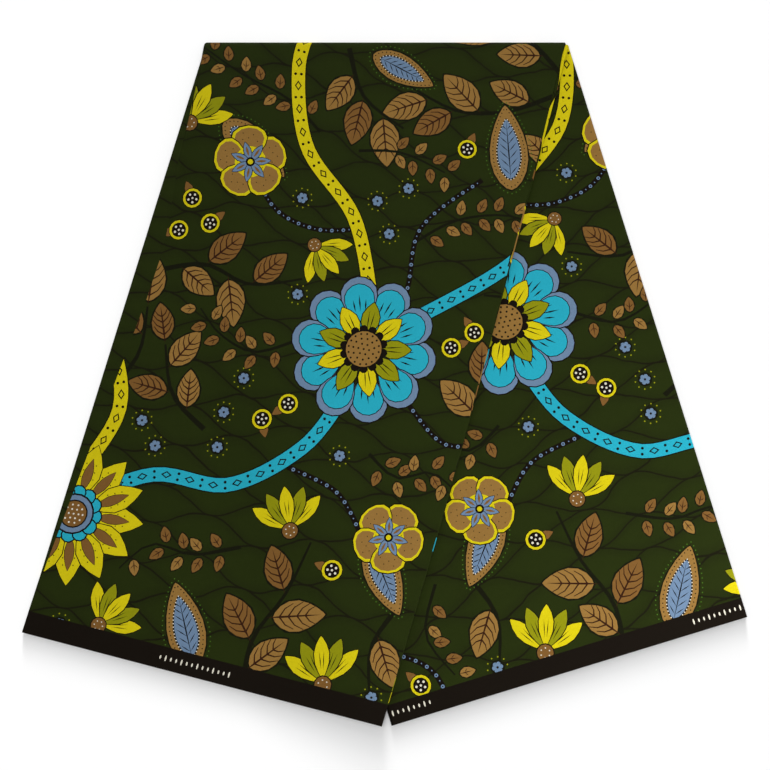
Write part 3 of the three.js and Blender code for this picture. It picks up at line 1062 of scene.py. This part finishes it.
def new_group(name, output, sizes):
    """A node group that reads a place on the cloth and named sizes, and puts out one value."""
    tree = bpy.data.node_groups.new(name, "ShaderNodeTree")
    tree.interface.new_socket(name="Cloth place", in_out="INPUT", socket_type="NodeSocketVector")
    for label, size in sizes.items():
        socket = tree.interface.new_socket(name=label, in_out="INPUT", socket_type="NodeSocketFloat")
        socket.default_value = size
    tree.interface.new_socket(name=output, in_out="OUTPUT", socket_type="NodeSocketFloat")
    nodes = Nodes(tree)
    return nodes, nodes.add("NodeGroupInput").outputs, nodes.add("NodeGroupOutput").inputs[output]


def weave_group():
    """Plain weave: the height of yarns that pass over and under each other."""
    nodes, given, result = new_group("Plain weave", "Height", {"Yarn width": 0.00035})
    q, v, _ = nodes.axes(given["Cloth place"])
    turn = nodes.math("DIVIDE", math.pi, given["Yarn width"])
    across = nodes.math("SINE", nodes.math("MULTIPLY", q, turn))
    lengthwise = nodes.math("SINE", nodes.math("MULTIPLY", v, turn))
    over = nodes.range(nodes.math("MULTIPLY", across, lengthwise), -0.3, 0.3, 0.0, 1.0)
    under = nodes.math("SUBTRACT", 1.0, over)
    warp = nodes.math("MULTIPLY", nodes.math("ABSOLUTE", across), over)
    weft = nodes.math("MULTIPLY", nodes.math("ABSOLUTE", lengthwise), under)
    nodes.join(nodes.math("ADD", warp, weft), result)
    return nodes.tree


def dye_group():
    """How evenly the dye has taken: broad soft patches and a fine grain, about 1."""
    nodes, given, result = new_group("Uneven dye", "Strength", {"Amount": 0.12})
    broad = nodes.drift(given["Cloth place"], 22.0, 2.0, given["Amount"])
    grain = nodes.drift(given["Cloth place"], 700.0, 1.0, given["Amount"])
    nodes.join(nodes.math("ADD", nodes.math("ADD", broad, grain), 1.0), result)
    return nodes.tree


def net_group():
    """A net of thin wandering lines whose meshes are long lenses."""
    sizes = {"Mesh length": 0.095, "Mesh height": 0.035, "Line width": 0.0009, "Shade width": 0.009}
    nodes, given, result = new_group("Line net", "Line", sizes)
    q, v, _ = nodes.axes(given["Cloth place"])
    wander = nodes.drift(given["Cloth place"], 9.0, 2.0, 0.022)
    q = nodes.math("ADD", q, wander)
    v = nodes.math("ADD", v, nodes.math("ADD", wander, nodes.drift(given["Cloth place"], 31.0, 2.0, 0.008)))
    turn = nodes.math("DIVIDE", nodes.math("MULTIPLY", q, 2 * math.pi), given["Mesh length"])
    swing = nodes.math("MULTIPLY", given["Mesh height"], 0.25)
    wave = nodes.math("MULTIPLY", nodes.math("COSINE", turn), swing)
    half = nodes.math("MULTIPLY", given["Line width"], 0.5)
    lines = []
    for sign, shift in ((-1.0, 0.0), (1.0, 0.5)):
        at = nodes.math("ADD", v, nodes.math("MULTIPLY", wave, sign))
        at = nodes.math("DIVIDE", at, given["Mesh height"])
        at = nodes.math("FRACT", nodes.math("ADD", at, shift + 100.0))
        away = nodes.math("ABSOLUTE", nodes.math("SUBTRACT", at, 0.5))
        away = nodes.math("MULTIPLY", away, given["Mesh height"])
        lines.append(nodes.range(away, half, nodes.math("MULTIPLY", half, 2.6), 1.0, 0.0))
        lines.append(nodes.range(away, half, given["Shade width"], 0.28, 0.0))
    first, second = nodes.math("MAXIMUM", *lines[:2]), nodes.math("MAXIMUM", *lines[2:])
    nodes.join(nodes.math("MAXIMUM", first, second), result)
    return nodes.tree


def use_group(nodes, tree, vector):
    """A group placed in a material, reading its place on the cloth."""
    node = nodes.add("ShaderNodeGroup", node_tree=tree)
    nodes.join(vector, node.inputs["Cloth place"])
    return node


def new_material(name, finish):
    """A material and its shader, with the values of the finish set on it."""
    material = bpy.data.materials.new(name)
    material.use_nodes = True
    shader = material.node_tree.nodes["Principled BSDF"]
    for label, value in finish.items():
        shader.inputs[label].default_value = value
    return material, shader


COTTON_FINISH = {"Roughness": 0.78, "Specular IOR Level": 0.03, "Sheen Weight": 0.006, "Sheen Roughness": 0.5}
BUMP = {"Strength": 0.35, "Distance": 0.00012}


def printed_colour(nodes, vector, net):
    """The print's inks, with the net drawn over its ground."""
    print_layer = nodes.add("ShaderNodeAttribute", attribute_type="GEOMETRY", attribute_name="print")
    line = use_group(nodes, net, vector).outputs["Line"]
    line = nodes.math("MULTIPLY", line, print_layer.outputs["Alpha"])
    line = nodes.math("MULTIPLY", line, 0.8)
    return nodes.mix(line, print_layer.outputs["Color"], dye_colour("ink"))


def patched_colour(nodes, vector):
    """The print as broad patches, for the cloth inside the leaves, and its selvedge bands."""
    patch = nodes.add("ShaderNodeTexVoronoi")
    nodes.join(vector, patch.inputs["Vector"])
    patch.inputs["Scale"].default_value = 40.0
    split = nodes.add("ShaderNodeSeparateColor")
    nodes.join(patch.outputs["Color"], split.inputs[0])
    colour = dye_colour("ground")
    for channel, bar, ink in ((0, 0.78, "brown"), (1, 0.9, "yellow"), (2, 0.9, "turquoise")):
        chosen = nodes.math("GREATER_THAN", split.outputs[channel], bar)
        colour = nodes.mix(chosen, colour, dye_colour(ink))
    _, v, _ = nodes.axes(vector)
    on_front_band = nodes.math("LESS_THAN", v, FRONT_BAND * MM)
    on_rear_band = nodes.math("GREATER_THAN", v, (CLOTH_WIDTH - REAR_BAND) * MM)
    on_band = nodes.math("MAXIMUM", on_front_band, on_rear_band)
    return nodes.mix(on_band, colour, dye_colour("selvedge"))


def cotton(name, weave, dye, net=None):
    """Printed cotton; without a net it is the cloth inside the leaves."""
    material, shader = new_material(name, COTTON_FINISH)
    nodes = Nodes(material.node_tree)
    vector = nodes.add("ShaderNodeUVMap", uv_map="Cloth").outputs["UV"]
    colour = printed_colour(nodes, vector, net) if net else patched_colour(nodes, vector)
    strength = use_group(nodes, dye, vector).outputs["Strength"]
    grey = nodes.add("ShaderNodeCombineColor")
    for socket in grey.inputs[:3]:
        nodes.join(strength, socket)
    nodes.join(nodes.mix(1.0, colour, grey.outputs[0], "MULTIPLY"), shader.inputs["Base Color"])
    bump = nodes.add("ShaderNodeBump")
    for label, value in BUMP.items():
        bump.inputs[label].default_value = value
    nodes.join(use_group(nodes, weave, vector).outputs["Height"], bump.inputs["Height"])
    nodes.join(bump.outputs[0], shader.inputs["Normal"])
    return material


weave, dye, net = weave_group(), dye_group(), net_group()
outer = make_outer_cloth(cotton("printed_cotton", weave, dye, net))
inner = make_inner_plies(cotton("hidden_cotton", weave, dye))

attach(outer, "root")
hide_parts("front_wrap", "turn_wrap", "rear_wrap")
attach(inner, "root")
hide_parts("hidden_layers")


# The pale surface reaches this far from its middle each way, in millimetres
FLOOR_HALF = 16000.0
PAPER_FINISH = {"Base Color": (0.90, 0.90, 0.90, 1.0), "Roughness": 1.0, "Specular IOR Level": 0.0}
paper, _ = new_material("white_paper", PAPER_FINISH)
corners = [(x, y, 0.0) for x, y in rectangle(-FLOOR_HALF, -FLOOR_HALF, FLOOR_HALF, FLOOR_HALF)]
mesh_from("surface", np.array(corners), [(0, 1, 2, 3)], paper)


# The lights: each distant one its name, azimuth (90 is the turned end), elevation, strength and spread
SUNS = (
    ("lowest window", 92.0, 11.5, 1.58, 9.0),
    ("low window", 92.0, 19.0, 1.12, 12.0),
    ("window", 92.0, 30.0, 0.52, 18.0),
    ("high window", 92.0, 48.0, 0.28, 20.0),
    ("ceiling", 250.0, 80.0, 1.64, 50.0),
)
PANEL_PLACE = (0.66, -0.44, 0.42)
PANEL_POWER = 10.0
ROOM_STRENGTH = 0.246


def add_light(name, kind, place, power, **form):
    """A light that shines from its place towards the middle of the wrap."""
    light = bpy.data.lights.new(name, kind)
    light.energy = power
    for label, value in form.items():
        setattr(light, label, value)
    lamp = bpy.data.objects.new(name, light)
    lamp.location = place
    lamp.rotation_euler = Vector(place).to_track_quat("Z", "Y").to_euler()
    bpy.context.scene.collection.objects.link(lamp)
    return lamp


for name, azimuth, elevation, strength, spread in SUNS:
    a, e = math.radians(azimuth), math.radians(elevation)
    towards = Vector((math.cos(e) * math.cos(a), math.cos(e) * math.sin(a), math.sin(e)))
    add_light(name, "SUN", towards * 2, strength, angle=math.radians(spread))

# a near panel reaches the cloth alone, so that the surface stays evenly white
panel = add_light("panel", "AREA", PANEL_PLACE, PANEL_POWER, size=0.4)
panel.visible_camera = False
reach = bpy.data.collections.new("lit_by_panel")
for piece in (outer, inner):
    reach.objects.link(piece)
panel.light_linking.receiver_collection = reach

world = bpy.data.worlds.new("room")
world.use_nodes = True
background = world.node_tree.nodes["Background"]
background.inputs["Color"].default_value = (1.0, 1.0, 1.0, 1.0)
# the room is dim for the light that it gives, and white where the view reaches past the surface
room = Nodes(world.node_tree)
seen = room.add("ShaderNodeLightPath").outputs["Is Camera Ray"]
room.join(room.range(seen, 0.0, 1.0, ROOM_STRENGTH, 1.0), background.inputs["Strength"])
bpy.context.scene.world = world
bpy.context.scene.view_settings.view_transform = "Standard"

# The camera: a long lens at a small tilt from straight above
CAMERA_TILT = math.radians(13.145)
CAMERA_DISTANCE = 1.5437
CAMERA_TARGET = Vector((0.00016, -0.0123, 0.0))
camera_data = bpy.data.cameras.new("camera")
camera_data.lens = 84.16
camera_data.sensor_width = 36.0
camera = bpy.data.objects.new("camera", camera_data)
towards = Vector((0.0, -math.sin(CAMERA_TILT), math.cos(CAMERA_TILT)))
camera.location = CAMERA_TARGET + CAMERA_DISTANCE * towards
camera.rotation_euler = (CAMERA_TILT, 0.0, 0.0)
bpy.context.scene.collection.objects.link(camera)
bpy.context.scene.camera = camera
